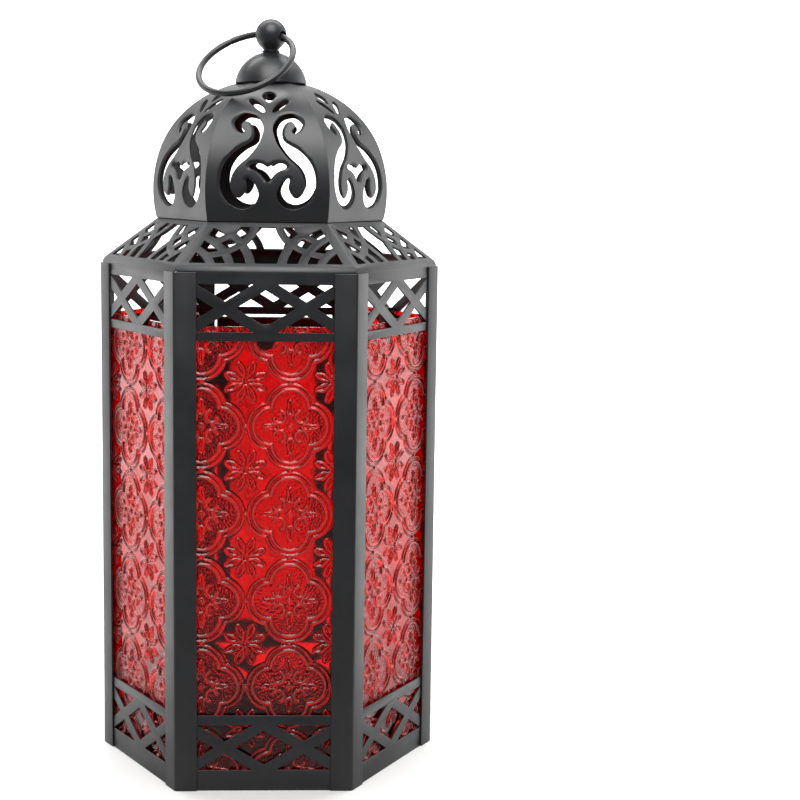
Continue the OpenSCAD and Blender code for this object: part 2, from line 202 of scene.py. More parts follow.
# %% [markdown]
# ## Pressed red glass
#
# The panes are soda-lime glass, coloured red and pressed in a patterned mould while soft. Soda-lime
# glass has an IOR of 1.52. The mould's surface leaves the glass slightly wavy between the raised
# lines, with ripples about 2 mm apart. The raised lines themselves are real geometry, made
# further down, because they bend the light that comes through. Two numbers kept at each corner of
# that geometry, called raised and ground, tell this material where the ridges and the stippled
# ground are, so that the finish and the shape always agree.

# %% The glass


def pressed_glass():
    material, tree, out = new_material("pressed_red_soda_lime_glass")
    where = add(tree, "ShaderNodeTexCoord").outputs["Object"]
    # Mould chill: ripples 2.2 mm apart and about a hundredth deep
    chill = add(tree, "ShaderNodeTexNoise", {"Vector": where, "Scale": 1 / (2.2 * MM), "Detail": 2.0})
    # Streaks of deeper colour, 25 mm across
    streak = add(tree, "ShaderNodeTexNoise", {"Vector": where, "Scale": 1 / (25 * MM), "Detail": 1.0})
    colour = add(
        tree, "ShaderNodeMix",
        {"Factor": streak.outputs["Fac"], 6: linear("#cc0508"), 7: linear("#dc0a0a")},
        data_type="RGBA",
    )
    # The pattern's ridges are rougher and less clear than the flat glass, and their paler pink is a painted
    # highlight along each ridge
    raised = add(tree, "ShaderNodeAttribute", {}, attribute_name="raised").outputs["Fac"]
    ridge_highlight = add(tree, "ShaderNodeMath", {0: raised, 1: 0.7}, operation="MULTIPLY").outputs[0]
    # Painted highlight: the colour on the ridges is mixed towards pale pink, in place of light glinting along them
    shade = add(
        tree, "ShaderNodeMix",
        {"Factor": ridge_highlight, 6: colour.outputs[2], 7: linear("#ff6a60")}, data_type="RGBA",
    )
    gloss = add(tree, "ShaderNodeMapRange", {"Value": raised, "To Min": 0.07, "To Max": 0.3})
    clear = add(tree, "ShaderNodeMapRange", {"Value": raised, "To Min": 1.0, "To Max": 0.62})
    ripple = add(
        tree, "ShaderNodeBump",
        {"Height": chill.outputs["Fac"], "Strength": 0.5, "Distance": 0.025 * MM},
    )
    # Stippled ground inside each medallion: grains 0.9 mm apart and at most 0.25 mm high
    ground = add(tree, "ShaderNodeAttribute", {}, attribute_name="ground").outputs["Fac"]
    grains = add(tree, "ShaderNodeTexNoise", {"Vector": where, "Scale": 1 / (0.9 * MM), "Detail": 0.0})
    grain = add(tree, "ShaderNodeMath", {0: grains.outputs["Fac"], 1: ground}, operation="MULTIPLY")
    stipple = add(
        tree, "ShaderNodeBump",
        {"Height": grain.outputs[0], "Normal": ripple.outputs["Normal"], "Distance": 0.25 * MM},
    )
    shader = add(
        tree, "ShaderNodeBsdfPrincipled",
        {"Base Color": shade.outputs[2], "Roughness": gloss.outputs["Result"],
         "Normal": stipple.outputs["Normal"], "IOR": 1.52,
         "Transmission Weight": clear.outputs["Result"]},
    )
    tree.links.new(shader.outputs["BSDF"], out.inputs["Surface"])
    return material


red_glass = pressed_glass()
print("made", red_glass.name)

# %% [markdown]
# ## Handing pieces over
#
# Every visible piece rides on a body of the imported model, takes the place of its solid, and takes
# the finish of the material slot that its solid belongs to. One function does the three. Another
# turns corner and face lists into an object, shading it smooth except where two faces meet at a clear angle.

# %% Two helpers for pieces
BODY_OF = {
    node: body for body, nodes in frame["record"]["behaviour"]["bodies"].items() for node in nodes
}
SLOT_OF = {part["node"]: part["material_slot"] for part in frame["record"]["subparts"]}
FINISH = {
    "black_sheet": black_coat, "inner_sheet": inside_coat,
    "steel_fasteners": steel, "red_glass": red_glass,
}


def hand_over(piece, node):
    """piece stands for a node: it rides on the node's body and takes its slot's finish."""
    piece.data.materials.clear()
    piece.data.materials.append(FINISH[SLOT_OF[node]])
    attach(piece, BODY_OF[node])
    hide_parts(node)
    return piece


def new_piece(name, points, faces, sharp=35):
    """A mesh object from points in mm. Edges that turn more than sharp degrees stay crisp."""
    mesh = bpy.data.meshes.new(name)
    mesh.from_pydata((np.asarray(points, float) * MM).tolist(), [], faces)
    mesh.validate()
    mesh.shade_smooth()
    mesh.set_sharp_from_angle(angle=math.radians(sharp))
    piece = bpy.data.objects.new(name, mesh)
    bpy.context.scene.collection.objects.link(piece)
    return piece


def turned(points, face):
    """Points drawn on face 1, turned about the axis onto another face."""
    angle = math.radians(60 * (face - 1))
    cos, sin = math.cos(angle), math.sin(angle)
    x, y, z = np.asarray(points, float).T
    return np.stack([cos * x - sin * y, sin * x + cos * y, z], axis=1)


print("finishes:", ", ".join(sorted(FINISH)))

# %% [markdown]
# ## Folded and cut sheet with real edges
#
# The posts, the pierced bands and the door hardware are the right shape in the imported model, but
# their edges are perfectly sharp. On real sheet metal a punch rounds each edge a little, and the
# coat rounds it more, so every edge shows as a thin light line. A piece is made here from a copy
# of the solid's mesh: flat triangles are merged back into whole faces, and a bevel cuts the edges.

# %% Softening the edges of a solid


def softened(node, width, segments=2, angle=30):
    """A copy of a node's mesh with its edges rounded to width mm."""
    mesh = bpy.data.meshes.new(node + "_coated")
    work = bmesh.new()
    work.from_mesh(frame["nodes"][node].data)
    bmesh.ops.remove_doubles(work, verts=work.verts, dist=0.002 * MM)
    bmesh.ops.dissolve_limit(
        work, angle_limit=math.radians(0.6), verts=work.verts, edges=work.edges
    )
    crisp = [e for e in work.edges if len(e.link_faces) == 2
             and e.calc_face_angle(0) > math.radians(angle)]
    bmesh.ops.bevel(
        work, geom=crisp, offset=width * MM, segments=segments, profile=0.5,
        affect="EDGES", clamp_overlap=True,
    )
    work.to_mesh(mesh)
    work.free()
    mesh.shade_smooth()
    mesh.set_sharp_from_angle(angle=math.radians(40))
    piece = bpy.data.objects.new(node + "_coated", mesh)
    bpy.context.scene.collection.objects.link(piece)
    return hand_over(piece, node)


SHEET_EDGE, FITTING_EDGE = 0.18, 0.15
sheets = [f"{kind}_{k}" for kind in ("corner_post", "lower_fret", "roof_panel") for k in FACES]
for node in sheets:
    softened(node, SHEET_EDGE)
small_parts = [
    "glass_clips", "foot_tabs", "base_tray", "candle_pan", "finial_washer", "finial_nut",
    "door_frame", "door_clips", "door_stops", "latch_button", "latch_rivet",
] + [f"hinge_{part}_{at}" for part in ("post_leaf", "door_leaf", "pin") for at in ("lower", "upper")]
for node in small_parts:
    softened(node, FITTING_EDGE)
print("softened", len(sheets) + len(small_parts), "solids")

# %% [markdown]
# ## The pierced dome
#
# Each gore of the dome is one sheet, cut out flat with its scrolls, heart and petals, and then
# rolled to shape. The press also turns the rim of every opening inwards, so a soft lip runs round
# it. A boolean cut would leave hard walls and no lip, so the gore is made as a fine net instead.
# For any place on the sheet a function gives the distance to the nearest opening. The net is cut
# along zero distance, and the same distance tells how far to press each point inwards.

# %% Outlines of the openings
# Points are millimetres from the gore's middle line, and heights above the table.
SCROLL = [
    (11.0, 280.2), (12.8, 281.4), (14.0, 283.6), (13.8, 285.7), (11.4, 287.9), (9.0, 288.4),
    (4.7, 287.0), (2.3, 282.8), (3.2, 278.0), (4.9, 274.6), (8.4, 270.2), (12.8, 266.3),
    (15.4, 262.1), (16.1, 257.7), (15.0, 254.4), (12.7, 252.5), (10.9, 252.9), (9.2, 255.1),
    (8.5, 257.6), (9.0, 260.8), (7.2, 260.2), (5.4, 258.0), (4.1, 254.2), (5.7, 250.5),
    (9.0, 248.5), (12.8, 248.7), (16.8, 251.1), (19.4, 255.4), (20.0, 259.4), (19.2, 264.7),
    (16.6, 269.5), (12.4, 273.4), (8.2, 275.8), (6.5, 277.2), (5.8, 278.8), (5.6, 281.4),
    (6.9, 284.2), (8.7, 285.3), (10.5, 285.1), (11.6, 283.6), (11.2, 282.2), (10.3, 281.2),
]
HEART = [
    (0.0, 265.7), (2.2, 266.9), (4.4, 267.4), (6.6, 267.2), (7.6, 266.3), (7.0, 265.3),
    (5.4, 264.7), (3.6, 263.7), (2.0, 262.2), (0.9, 260.6), (0.0, 259.9),
]
SIDE_PETAL = [
    (8.3, 294.1), (6.9, 294.6), (4.2, 293.1), (2.4, 291.0), (1.7, 289.6), (2.6, 289.2),
    (5.1, 290.8), (7.3, 292.6),
]
TOP_PETAL = [
    (0.0, 293.5), (1.4, 294.5), (2.7, 295.9), (2.2, 297.3), (0.0, 298.1),
]


def smooth_loop(points, steps=6):
    """A closed curve through points: a Catmull-Rom spline."""
    p = np.asarray(points, float)
    before, after, next_after = np.roll(p, 1, 0), np.roll(p, -1, 0), np.roll(p, -2, 0)
    t = (np.arange(steps) / steps)[None, :, None]
    a, b, c, d = before[:, None], p[:, None], after[:, None], next_after[:, None]
    curve = 0.5 * (2 * b + (c - a) * t + (2 * a - 5 * b + 4 * c - d) * t**2
                   + (3 * b - a - 3 * c + d) * t**3)
    return curve.reshape(-1, 2)


def mirrored(points):
    return [(-x, z) for x, z in reversed(points)]


heart_loop = HEART + mirrored(HEART[1:-1])
top_loop = TOP_PETAL + mirrored(TOP_PETAL[1:-1])
loops = [
    smooth_loop(SCROLL), smooth_loop(mirrored(SCROLL)), smooth_loop(heart_loop),
    smooth_loop(SIDE_PETAL), smooth_loop(mirrored(SIDE_PETAL)), smooth_loop(top_loop),
]
print("openings per gore:", len(loops))

# %% [markdown]
# The gore's section is two arcs that meet without a kink: a wide one round the foot and a tighter
# one over the top. A place on the sheet is given by its distance across, and by the length
# measured along that section, so nothing is stretched when the net is bent.

# %% The gore's section
SHEET = 0.8
LOW_R, HIGH_R, BLEND = 60.0, 44.0, math.radians(18)
WAIST_W, WAIST_Z, FOOT_Z, TOP_W = 45.3, 255.2, 242.75, 5.0
LOW_W = WAIST_W - LOW_R
HIGH_W = LOW_W + (LOW_R - HIGH_R) * math.cos(BLEND)
HIGH_Z = WAIST_Z + (LOW_R - HIGH_R) * math.sin(BLEND)
FOOT = math.asin((FOOT_Z - WAIST_Z) / LOW_R)
TOP = math.acos((TOP_W - HIGH_W) / HIGH_R)
LOW_LENGTH = LOW_R * (BLEND - FOOT)
GORE_LENGTH = LOW_LENGTH + HIGH_R * (TOP - BLEND)


def gore_section(s):
    """Distance from the axis, height and outward normal at length s along the section."""
    low = s < LOW_LENGTH
    angle = np.where(low, FOOT + s / LOW_R, BLEND + (s - LOW_LENGTH) / HIGH_R)
    radius = np.where(low, LOW_R, HIGH_R)
    w = np.where(low, LOW_W, HIGH_W) + radius * np.cos(angle)
    z = np.where(low, WAIST_Z, HIGH_Z) + radius * np.sin(angle)
    return w, z, np.cos(angle), np.sin(angle)


def length_at(z):
    """The length along the section at which it reaches height z."""
    s = np.linspace(0, GORE_LENGTH, 2000)
    return np.interp(z, gore_section(s)[1], s)


def distance_inside(x, s, loop):
    """Distance to a closed outline, positive inside it."""
    a, b = loop, np.roll(loop, -1, 0)
    best = np.full(x.shape, 1e9)
    inside = np.zeros(x.shape, bool)
    for (ax, ay), (bx, by) in zip(a, b):
        dx, dy = bx - ax, by - ay
        t = np.clip(((x - ax) * dx + (s - ay) * dy) / (dx * dx + dy * dy + 1e-12), 0, 1)
        best = np.minimum(best, (x - ax - t * dx) ** 2 + (s - ay - t * dy) ** 2)
        crosses = (ay > s) != (by > s)
        at = ax + (s - ay) * dx / (dy if dy else 1e-12)
        inside ^= crosses & (x < at)
    return np.where(inside, 1, -1) * np.sqrt(best)


flat_loops = [np.stack([loop[:, 0], length_at(loop[:, 1])], axis=1) for loop in loops]
# Every opening is cut this much wider all round, because the pressed lip narrows it again
WIDENED = 0.3
# The gore's sides slant, so the true distance to one is a little less than the gap across
SIDE_SLANT = 0.95
HALF_FACE = math.tan(math.radians(30))


def gore_openings(x, s):
    """Distance to the nearest widened opening, positive where there is metal."""
    return -np.max([distance_inside(x, s, loop) for loop in flat_loops], axis=0) - WIDENED


def gore_metal(x, s):
    """Distance to any edge of the gore, positive where there is metal."""
    half_w = gore_section(s)[0] * HALF_FACE
    sides = (half_w - np.abs(x)) * SIDE_SLANT
    return np.minimum.reduce([gore_openings(x, s), sides, s, GORE_LENGTH - s])


print("a gore is", round(GORE_LENGTH, 1), "mm long, measured along its curve")

# %% [markdown]
# The net starts as a grid of squares, each split into two triangles. Corners that lie almost on an
# edge are moved onto it, and triangles that still cross an edge are cut there. Then the front, the
# back and a small chamfer along every cut edge are joined into one closed sheet.

# %% Cutting a net to its outline


def cut_net(metal, across, along, step):
    """Points and triangles of the flat sheet, where metal(x, s) is positive."""
    xs = np.arange(across[0], across[1] + step / 2, step)
    ss = np.arange(along[0], along[1] + step / 2, step)
    x, s = (g.ravel() for g in np.meshgrid(xs, ss))
    d = metal(x, s)
    tiny = 0.02
    gx = (metal(x + tiny, s) - metal(x - tiny, s)) / (2 * tiny)
    gs = (metal(x, s + tiny) - metal(x, s - tiny)) / (2 * tiny)
    near = np.abs(d) < 0.38 * step
    length = np.maximum(np.hypot(gx, gs) ** 2, 0.25)
    x, s = x - near * d * gx / length, s - near * d * gs / length
    d = np.where(near, 0, d)
    n = len(xs)
    i = (np.arange(len(ss) - 1)[:, None] * n + np.arange(n - 1)[None, :]).ravel()
    odd = ((i % n) + (i // n)) % 2 == 0
    first = np.where(odd[:, None], np.stack([i, i + 1, i + n + 1], 1), np.stack([i, i + 1, i + n], 1))
    second = np.where(odd[:, None], np.stack([i, i + n + 1, i + n], 1),
                      np.stack([i + 1, i + n + 1, i + n], 1))
    cells = np.concatenate([first, second])
    level = d[cells]
    whole = (level >= 0).all(1) & (level > 0).any(1)
    split = (level > 0).any(1) & (level < 0).any(1)
    triangles = cells[whole].tolist()
    points = [tuple(p) for p in np.stack([x, s], 1)]
    made = {}

    def crossing(a, b):
        key = (min(a, b), max(a, b))
        if key not in made:
            t = d[a] / (d[a] - d[b])
            points.append((x[a] + t * (x[b] - x[a]), s[a] + t * (s[b] - s[a])))
            made[key] = len(points) - 1
        return made[key]

    for cell in cells[split].tolist():
        ring = []
        for a, b in zip(cell, cell[1:] + cell[:1]):
            if d[a] >= 0:
                ring.append(a)
            if d[a] * d[b] < 0:
                ring.append(crossing(a, b))
        triangles += [[ring[0], ring[m], ring[m + 1]] for m in range(1, len(ring) - 1)]
    triangles = np.array(triangles)
    used, triangles = np.unique(triangles, return_inverse=True)
    return np.array(points)[used], triangles.reshape(-1, 3)


def rims(triangles):
    """The directed edges that only one triangle has."""
    edges = np.concatenate([triangles[:, [0, 1]], triangles[:, [1, 2]], triangles[:, [2, 0]]])
    there = set(map(tuple, edges.tolist()))
    return [(a, b) for a, b in there if (b, a) not in there]


def closed_sheet(flat, triangles, metal, place, thickness, chamfer):
    """Points and faces of a sheet of real thickness. place(x, s, depth) gives the bent position."""
    rim = rims(triangles)
    on_rim = np.unique(np.array(rim))
    x, s = flat.T
    tiny = 0.05
    gx = metal(x[on_rim] + tiny, s[on_rim]) - metal(x[on_rim] - tiny, s[on_rim])
    gs = metal(x[on_rim], s[on_rim] + tiny) - metal(x[on_rim], s[on_rim] - tiny)
    length = np.maximum(np.hypot(gx, gs), 1e-6)
    inset = flat.copy()
    inset[on_rim] += chamfer * np.stack([gx / length, gs / length], 1)
    count = len(flat)
    row = {v: 2 * count + m for m, v in enumerate(on_rim.tolist())}
    edge_x, edge_s = flat[on_rim].T
    points = np.concatenate([
        place(inset[:, 0], inset[:, 1], 0.0), place(inset[:, 0], inset[:, 1], thickness),
        place(edge_x, edge_s, chamfer), place(edge_x, edge_s, thickness - chamfer),
    ])
    faces = triangles.tolist() + (triangles[:, ::-1] + count).tolist()
    low = len(on_rim)
    for a, b in rim:
        faces.append([b, a, row[a], row[b]])
        faces.append([row[b], row[a], row[a] + low, row[b] + low])
        faces.append([row[b] + low, row[a] + low, a + count, b + count])
    return points, faces


# %% The six gores
LIP_WIDTH, LIP_DEPTH, LEAST_DEPTH = 0.95, 0.65, 0.05
GORE_EDGE = 0.12


def bend_gore(x, s, depth):
    """Bends the flat gore, with its lips pressed in, and brings depth mm inwards."""
    w, z, across, up = gore_section(s)
    far = gore_openings(x, s)
    # The press bites deepest along an opening's outer and upper edges, and hardly at all round
    # the small petals near the top
    away_x = (gore_openings(x + 0.1, s) - far) / 0.1 * np.sign(x)
    away_s = (gore_openings(x, s + 0.1) - far) / 0.1
    bite = np.clip(0.25 + 0.8 * away_x + 0.75 * away_s, 0, 1) * np.clip((290 - z) / 4, 0.15, 1)
    near = np.clip(1 - far / LIP_WIDTH, 0, 1)
    lip = 1 - (1 - near) ** 2
    inwards = depth + lip * (LEAST_DEPTH + (LIP_DEPTH - LEAST_DEPTH) * bite)
    w, z = w - inwards * across, z - inwards * up
    x = np.sign(x) * np.minimum(np.abs(x), w * HALF_FACE)
    return np.stack([x, -w, z], axis=1)


NET = 0.5
flat, triangles = cut_net(gore_metal, (-27.5, 27.5), (0, GORE_LENGTH + NET), NET)
gore_points, gore_faces = closed_sheet(flat, triangles, gore_metal, bend_gore, SHEET, GORE_EDGE)
for k in FACES:
    gore = new_piece(f"dome_gore_{k}_pressed", turned(gore_points, k), gore_faces)
    hand_over(gore, f"dome_gore_{k}")
print("each gore has", len(gore_faces), "faces")

# %% [markdown]
# ## The panes and their pattern
#
# The mould's pattern repeats every 37.4 mm: a four-lobed medallion with a double raised outline,
# a cross of four leaves and four curls inside it, and a daisy in the gap between four medallions.
# Each element is written as a raised line of some width along a simple curve. The pane's front is
# a net of small squares, and each corner is lifted by the tallest line there.

# %% The relief
REPEAT = 37.4
LOBE_R = 7.8


def line(distance, width, height):
    """A rounded ridge: its height at some distance from its middle."""
    t = np.clip(1 - (distance / (width / 2)) ** 2, 0, 1)
    return height * np.sqrt(t) * t**0.25


def medallion(x, z):
    """Ridges of a medallion whose centre is at 0, 0, and where its ground is stippled."""
    ax, az = np.abs(x), np.abs(z)
    far, near = np.maximum(ax, az), np.minimum(ax, az)
    # Double outline of four lobes
    lobe = np.hypot(far - LOBE_R, near)
    outline = lobe - LOBE_R
    relief = line(outline, 1.5, 0.85)
    relief = np.maximum(relief, line(outline - 2.2, 1.1, 0.7))
    # Hatched rings in each lobe, and dots in the middle
    inside = np.clip(-(outline + 0.9) / 0.5, 0, 1)
    angle = np.arctan2(near, far - LOBE_R)
    rays, rings = 0.5 + 0.5 * np.cos(angle * 26), 0.5 + 0.5 * np.cos(lobe * 4.6)
    hatch = 0.3 * rays * (0.35 + 0.65 * rings) * inside
    dots = 0.2 * (0.5 + 0.5 * np.cos(x * 4.6) * np.cos(z * 4.6)) * inside
    relief = np.maximum(relief, np.where(lobe > 4.2, hatch, dots))
    # A cross of four leaves, each with a rib
    leaf = np.hypot(np.clip(np.abs(far - 8.2) - 1.9, 0, None), near * (1 + 0.18 * (far - 6.2)))
    relief = np.maximum(relief, line(leaf - 1.2, 1.0, 0.85))
    relief = np.maximum(relief, line(leaf, 0.9, 0.5))
    # Four curls with a knob in each, and a ring in the middle
    curl = np.hypot(ax - 4.6, az - 4.1)
    open_side = (ax - 4.6) + (az - 4.1) < 2.2
    relief = np.maximum(relief, np.where(open_side, line(curl - 2.5, 1.3, 0.9), 0))
    relief = np.maximum(relief, line(curl - 0.2, 1.3, 0.45))
    relief = np.maximum(relief, line(np.hypot(x, z) - 1.1, 0.9, 0.7))
    # The stipple stops where a ridge stands, and a bead joins each medallion to the next
    stippled = inside * np.clip(1.4 - relief / 0.4, 0, 1)
    bead = np.hypot(far - REPEAT / 2, near)
    return np.maximum(relief, line(bead, 2.0, 0.8)), stippled


def daisy(x, z):
    """Ridges of a daisy whose centre is at 0, 0."""
    radius, angle = np.hypot(x, z), np.arctan2(z, x)
    turn = (angle * 8 / (2 * math.pi)) % 1 - 0.5
    sideways = np.abs(turn) * 2 * math.pi / 8 * radius
    petal = 0.3 * (radius - 1.6) * np.clip((8.9 - radius) / 3.6, 0, 1) ** 0.75
    edge = np.where((radius > 1.6) & (radius < 9), line(sideways - petal, 0.95, 0.75), 0)
    return np.maximum(edge, line(radius - 1.5, 0.8, 0.55))


def relief(x, z):
    """The pattern's height, from its repeat's own centre, and where the stippled ground lies."""
    mx = (x + REPEAT / 2) % REPEAT - REPEAT / 2
    mz = (z + REPEAT / 2) % REPEAT - REPEAT / 2
    dx, dz = x % REPEAT - REPEAT / 2, z % REPEAT - REPEAT / 2
    ridges, ground = medallion(mx, mz)
    return np.maximum(ridges, daisy(dx, dz)), ground


# %% The panes
# Where a medallion's centre lies on each pane: across from its middle, and height.
PATTERN_AT = {
    1: (10.5, 120.7), 2: (-16.5, 119.4), 3: (7, 131), 4: (-4, 128), 5: (-11, 125), 6: (-12, 113.4),
}
# Half a pane's width, and how far its ridges' tops and its back are from the axis
FIXED_PANE = (34.6, 64.02, 61.52)
DOOR_PANE = (26.3, 64.92, 62.42)
RIDGE_ROOM = 0.9
GRID = 0.42


def pane(node, face, half_w, outer, inner):
    """A pane on a face, with its relief outside and its back flat. outer is the ridges' top."""
    low, high = (np.array(c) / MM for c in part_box(node))
    xs = np.linspace(-half_w, half_w, int(2 * half_w / GRID) + 1)
    zs = np.linspace(low[2], high[2], int((high[2] - low[2]) / GRID) + 1)
    x, z = (g.ravel() for g in np.meshgrid(xs, zs))
    px, pz = PATTERN_AT[face]
    height, ground = relief(x - px, z - pz)
    front = np.stack([x, -(outer - RIDGE_ROOM + np.minimum(height, RIDGE_ROOM)), z], 1)
    rear = np.stack([x, np.full_like(x, -inner), z], 1)
    n, m, count = len(xs), len(zs), len(x)
    i = (np.arange(m - 1)[:, None] * n + np.arange(n - 1)[None, :]).ravel()
    faces = np.stack([i, i + 1, i + n + 1, i + n], 1).tolist()
    frame_loop = list(range(n)) + [n * r + n - 1 for r in range(1, m)]
    frame_loop += [n * (m - 1) + c for c in range(n - 2, -1, -1)] + [n * r for r in range(m - 2, 0, -1)]
    back_loop = [count + v for v in range(len(frame_loop))]
    for a in range(len(frame_loop)):
        b = (a + 1) % len(frame_loop)
        faces.append([frame_loop[b], frame_loop[a], back_loop[a], back_loop[b]])
    faces.append(back_loop[::-1])
    points = turned(np.concatenate([front, rear[frame_loop]]), face)
    piece = new_piece(node + "_pressed", points, faces, sharp=60)
    flat = np.zeros(len(frame_loop))
    for name, values in (("raised", np.clip(height / 0.85, 0, 1)), ("ground", ground)):
        layer = piece.data.attributes.new(name, "FLOAT", "POINT")
        layer.data.foreach_set("value", np.concatenate([values, flat]))
    return hand_over(piece, node)


for k in (1, 2, 3, 5, 6):
    pane(f"glass_pane_{k}", k, *FIXED_PANE)
pane("door_glass", 4, *DOOR_PANE)
print("panes made with squares of", GRID, "mm")

# %% [markdown]
# ## Cap, finial and ring
#
# The cap is a spun disc: its rim is rolled under, which leaves a soft bright edge. The finial is
# turned in one piece, ball and neck, and cross-drilled for the ring. The ring is bent from wire
# and its ends meet in a butt joint. Spun and turned shapes come from one outline, swept round.

# %% A lathe


def lathe(outline, steps=128):
    """Points and faces of an outline of (radius, height) swept about Z. It ends on the axis or open."""
    angles = np.linspace(0, 2 * math.pi, steps, endpoint=False)
    points, faces = [], []
    for r, z in outline:
        points += [(r * math.cos(a), r * math.sin(a), z) for a in angles]
    for row in range(len(outline) - 1):
        for c in range(steps):
            d = (c + 1) % steps
            faces.append([row * steps + c, row * steps + d, (row + 1) * steps + d, (row + 1) * steps + c])
    return points, faces


def arc(cx, cz, r, start, stop, steps):
    """Points on an arc of the outline, angles in degrees from level."""
    angles = np.radians(np.linspace(start, stop, steps + 1))
    return [(cx + r * math.cos(a), cz + r * math.sin(a)) for a in angles]


def welded(piece):
    """Joins corners that lie together and turns every face outwards."""
    work = bmesh.new()
    work.from_mesh(piece.data)
    bmesh.ops.remove_doubles(work, verts=work.verts, dist=0.001 * MM)
    bmesh.ops.recalc_face_normals(work, faces=work.faces)
    work.to_mesh(piece.data)
    work.free()
    return piece


def spun_piece(name, node, outline):
    """A piece swept round the lantern's own axis."""
    return hand_over(welded(new_piece(name, *lathe(outline), sharp=40)), node)


CAP_Z, CAP_R = 300.3, 16.0
cap_outline = arc(0, CAP_Z, CAP_R, 82.4, 10.5, 28)
cap_outline += arc(CAP_R - 0.95, CAP_Z + 2.65, 0.75, 10, -120, 8)
cap_outline += arc(0, CAP_Z, CAP_R - 0.8, 12, 82.0, 20)
cap_outline.append(cap_outline[0])
spun_piece("crown_cap_spun", "crown_cap", cap_outline)
print("cap outline:", len(cap_outline), "points")

# %% The finial, with its cross hole
BALL_Z, BALL_R, NECK_R = 323.65, 6.9, 3.3
neck_top = math.degrees(math.asin(-math.sqrt(BALL_R**2 - 3.7**2) / BALL_R))
finial_outline = [(0, 295.0), (1.7, 295.0), (2.0, 295.3), (2.0, 316.2), (3.9, 316.0), (4.1, 316.3)]
finial_outline += [(3.6, 316.7), (NECK_R, 317.1)]
finial_outline += arc(0, BALL_Z, BALL_R, neck_top + 4, 90, 40)
finial = spun_piece("finial_ball_turned", "finial_ball", finial_outline)
hinge = next(j for j in frame["joints"] if j["name"] == "ring_swing")
hole_axis = Vector(hinge["axis"]).normalized()
HOLE_R, DRILL_LENGTH = 2.4, 20
bpy.ops.mesh.primitive_cylinder_add(vertices=64, radius=HOLE_R * MM, depth=DRILL_LENGTH * MM)
drill = bpy.context.object
along_hole = hole_axis.to_track_quat("Z", "Y").to_matrix().to_4x4()
drill.matrix_world = Matrix.Translation(Vector(hinge["pos_m"])) @ along_hole
cut = finial.modifiers.new("cross_hole", "BOOLEAN")
cut.operation, cut.object, cut.solver = "DIFFERENCE", drill, "EXACT"
round_edge = finial.modifiers.new("hole_edge", "BEVEL")
round_edge.width, round_edge.segments, round_edge.angle_limit = 0.3 * MM, 3, math.radians(50)
bpy.context.view_layer.update()
drilled = bpy.data.meshes.new_from_object(finial.evaluated_get(bpy.context.evaluated_depsgraph_get()))
finial.modifiers.clear()
finial.data = drilled
finial.data.shade_smooth()
finial.data.set_sharp_from_angle(angle=math.radians(35))
bpy.data.objects.remove(drill)
print("finial:", len(finial.data.vertices), "points after drilling")

# %% The carrying ring
RING_R, WIRE_R = 21.5, 1.4
low, high = (np.array(c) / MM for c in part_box("carrying_ring"))
middle = (low + high) / 2
ball = np.array(hinge["pos_m"]) / MM
across = np.array(hole_axis)
down = middle - ball - across * np.dot(middle - ball, across)
down /= np.linalg.norm(down)
normal = np.cross(across, down)
ring_points, ring_faces = [], []
AROUND, TUBE = 160, 20
# The butt joint is a shallow nick where the two ends of the wire meet: angle, depth and width
JOINT_AT, JOINT_DEPTH, JOINT_WIDTH = 2.2, 0.22, 0.6
for i in range(AROUND):
    a = 2 * math.pi * i / AROUND
    out = math.cos(a) * down + math.sin(a) * across
    gap = min(abs(a - JOINT_AT), 1) * RING_R
    wire = WIRE_R - JOINT_DEPTH * max(0.0, 1 - gap / JOINT_WIDTH)
    for j in range(TUBE):
        b = 2 * math.pi * j / TUBE
        ring_points.append(middle + out * (RING_R + wire * math.cos(b)) + normal * wire * math.sin(b))
for i in range(AROUND):
    for j in range(TUBE):
        n, m = (i + 1) % AROUND, (j + 1) % TUBE
        ring_faces.append([i * TUBE + j, n * TUBE + j, n * TUBE + m, i * TUBE + m])
hand_over(welded(new_piece("carrying_ring_wire", ring_points, ring_faces, 60)), "carrying_ring")
print("ring centre in mm:", np.round(middle, 2).tolist())

# %% The door knob
low, high = (np.array(c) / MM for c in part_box("door_knob"))
knob_x, knob_z = (low[0] + high[0]) / 2, (low[2] + high[2]) / 2
face_w = 76 * math.cos(math.radians(30))
knob_outline = [(0, -0.85), (0.98, -0.85), (0.98, 0), (2.4, 0), (2.5, 0.3), (2.2, 0.9), (1.5, 1.6)]
knob_outline += arc(0, 4.8, 3.5, -62, 90, 24)
knob_points, knob_faces = lathe(knob_outline, 48)
px, py, pz = np.array(knob_points).T
# The outline's axis is laid down so that it points out of the door
knob_points = np.stack([px + knob_x, pz + face_w, knob_z - py], 1)
hand_over(welded(new_piece("door_knob_turned", knob_points, knob_faces)), "door_knob")
print("knob at", round(knob_x, 1), round(knob_z, 1))

# %% [markdown]
# ## The studio
#
# A product shot like this has a white sweep: a floor that curves up into a wall with no edge. One
# soft box above and in front lights the dome, two behind rake the sides, and one lights the wall.
# The light from the wall is what makes the glass glow, because it comes through two panes.
# White all round would turn satin black grey. So the paper and the room are plain white where the
# lens sees them, and reflections find them dim in front of the lantern. A light path node tells
# the two apart. It reads the kind of ray and not where the camera stands, so every view agrees.

# %% Floor, world and lights


# The studio is in metres: the floor's ends, the curve's radius, the wall's top and half its width
FLOOR_FRONT, FLOOR_BACK, CURVE_R, WALL_TOP, HALF_WIDTH = -2.5, 0.9, 0.7, 2.6, 2.6


